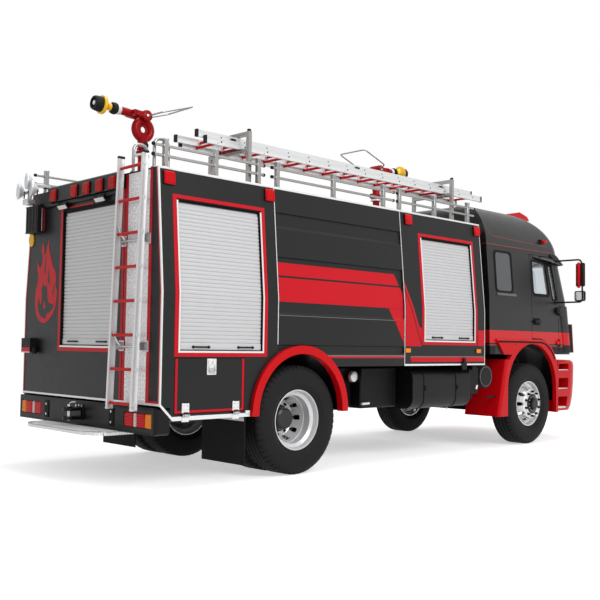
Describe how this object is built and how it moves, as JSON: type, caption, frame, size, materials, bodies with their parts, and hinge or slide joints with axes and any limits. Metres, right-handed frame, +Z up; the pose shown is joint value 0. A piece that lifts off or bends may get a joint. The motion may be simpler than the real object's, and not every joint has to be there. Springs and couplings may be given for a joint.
{
  "type": "fire engine",
  "caption": "Two-axle tank fire engine with crew cab, roller-shutter lockers, roof water monitors, stored ladder, light mast and rear ladder.",
  "frame": {"origin": "on the ground, under the middle of the bounding box", "axes": "+X towards the front bumper, +Y towards the left side, +Z up"},
  "size_m": [7.7898, 3.26, 3.7518],
  "materials": {
    "body_paint": "satin",
    "red_paint": "gloss",
    "chassis_paint": "satin",
    "satin_aluminium": "satin",
    "steel_tube": "brushed",
    "grey_steel": "brushed",
    "dark_plastic": "matte",
    "seat_cover": "woven",
    "red_lens": "clear gloss",
    "clear_glass": "clear",
    "tyre_rubber": "matte",
    "rim_paint": "satin",
    "lamp_lens": "clear gloss",
    "cast_iron": "rough"
  },
  "bodies": {
    "chassis": {"chassis_frame": "chassis_paint", "rear_axle": "cast_iron", "front_axle": "cast_iron", "engine": "cast_iron", "fuel_tank": "chassis_paint", "air_filter": "chassis_paint", "battery_box": "chassis_paint", "silencer": "grey_steel", "rear_module": "body_paint", "tank_module": "body_paint", "front_module": "body_paint", "shutters": "satin_aluminium", "roof_deck": "satin_aluminium", "roof_rails": "steel_tube", "ladder_gantry": "satin_aluminium", "roof_ladder": "satin_aluminium", "rear_ladder": "satin_aluminium", "mast_tube": "grey_steel", "corner_boxes": "dark_plastic", "rear_fenders": "red_paint", "front_fenders": "red_paint", "front_bumper": "red_paint", "headlamps": "lamp_lens", "rear_bumper": "chassis_paint", "rear_step": "satin_aluminium", "mudflaps": "tyre_rubber", "lamps": "red_lens", "cab_shell": "body_paint", "cab_roof": "body_paint", "grille": "dark_plastic", "cab_glass": "clear_glass", "seats": "seat_cover", "dashboard": "dark_plastic", "light_bar": "red_lens"},
    "door_left": {"door_left": "body_paint", "door_glass_left": "clear_glass", "mirror_left": "dark_plastic"},
    "flap_left": {"flap_left": "body_paint"},
    "knuckle_left": {"knuckle_left": "cast_iron"},
    "front_wheel_left": {"front_tyre_left": "tyre_rubber", "front_rim_left": "rim_paint"},
    "rear_wheel_left": {"rear_tyres_left": "tyre_rubber", "rear_rims_left": "rim_paint"},
    "door_right": {"door_right": "body_paint", "door_glass_right": "clear_glass", "mirror_right": "dark_plastic"},
    "flap_right": {"flap_right": "body_paint"},
    "knuckle_right": {"knuckle_right": "cast_iron"},
    "front_wheel_right": {"front_tyre_right": "tyre_rubber", "front_rim_right": "rim_paint"},
    "rear_wheel_right": {"rear_tyres_right": "tyre_rubber", "rear_rims_right": "rim_paint"},
    "monitor_swivel_rear": {"monitor_base_rear": "red_paint"},
    "monitor_barrel_rear": {"monitor_barrel_rear": "red_paint"},
    "monitor_swivel_front": {"monitor_base_front": "red_paint"},
    "monitor_barrel_front": {"monitor_barrel_front": "red_paint"},
    "tie_rod": {"tie_rod": "cast_iron"},
    "light_mast": {"light_mast": "grey_steel"}
  },
  "joints": [
    {"name": "steer_left", "type": "hinge", "parent": "chassis", "child": "knuckle_left", "pos_m": [2.495, 0.87, 0.538], "axis": [0, 0, 1], "range_deg": [-35, 35]},
    {"name": "steer_right", "type": "hinge", "parent": "chassis", "child": "knuckle_right", "pos_m": [2.495, -0.87, 0.538], "axis": [0, 0, 1], "range_deg": [-35, 35]},
    {"name": "tie_rod_slide", "type": "slide", "parent": "chassis", "child": "tie_rod", "axis": [0, -1, 0], "range_m": [-0.1288, 0.1288]},
    {"name": "front_wheel_left_spin", "type": "hinge", "parent": "knuckle_left", "child": "front_wheel_left", "pos_m": [2.495, 1.01, 0.538], "axis": [0, 1, 0], "continuous": true},
    {"name": "rear_wheel_left_spin", "type": "hinge", "parent": "chassis", "child": "rear_wheel_left", "pos_m": [-1.905, 1.076, 0.538], "axis": [0, 1, 0], "continuous": true},
    {"name": "door_left_hinge", "type": "hinge", "parent": "chassis", "child": "door_left", "pos_m": [3.201, 1.208, 1.8], "axis": [0, 0, -1], "range_deg": [0, 70]},
    {"name": "flap_left_hinge", "type": "hinge", "parent": "chassis", "child": "flap_left", "pos_m": [-3.0385, 1.26, 0.65], "axis": [-1, 0, 0], "range_deg": [0, 90]},
    {"name": "front_wheel_right_spin", "type": "hinge", "parent": "knuckle_right", "child": "front_wheel_right", "pos_m": [2.495, -1.01, 0.538], "axis": [0, 1, 0], "continuous": true},
    {"name": "rear_wheel_right_spin", "type": "hinge", "parent": "chassis", "child": "rear_wheel_right", "pos_m": [-1.905, -1.076, 0.538], "axis": [0, 1, 0], "continuous": true},
    {"name": "door_right_hinge", "type": "hinge", "parent": "chassis", "child": "door_right", "pos_m": [3.201, -1.208, 1.8], "axis": [0, 0, 1], "range_deg": [0, 70]},
    {"name": "flap_right_hinge", "type": "hinge", "parent": "chassis", "child": "flap_right", "pos_m": [-3.0385, -1.26, 0.65], "axis": [1, 0, 0], "range_deg": [0, 90]},
    {"name": "monitor_swivel_rear", "type": "hinge", "parent": "chassis", "child": "monitor_swivel_rear", "pos_m": [-2.995, 0, 3.216], "axis": [0, 0, 1], "range_deg": [-170, 170]},
    {"name": "monitor_elevation_rear", "type": "hinge", "parent": "monitor_swivel_rear", "child": "monitor_barrel_rear", "pos_m": [-2.995, 0, 3.58], "axis": [0, 1, 0], "range_deg": [-15, 65]},
    {"name": "monitor_swivel_front", "type": "hinge", "parent": "chassis", "child": "monitor_swivel_front", "pos_m": [0.635, 0, 3.216], "axis": [0, 0, 1], "range_deg": [-170, 170]},
    {"name": "monitor_elevation_front", "type": "hinge", "parent": "monitor_swivel_front", "child": "monitor_barrel_front", "pos_m": [0.635, 0, 3.58], "axis": [0, -1, 0], "range_deg": [-15, 65]},
    {"name": "light_mast_slide", "type": "slide", "parent": "chassis", "child": "light_mast", "axis": [0, 0, 1], "range_m": [0, 1.2]}
  ],
  "couplings": [
    {"joint": "steer_right", "follows": "steer_left", "ratio": 1},
    {"joint": "tie_rod_slide", "follows": "steer_left", "m_per_rad": 0.21}
  ]
}
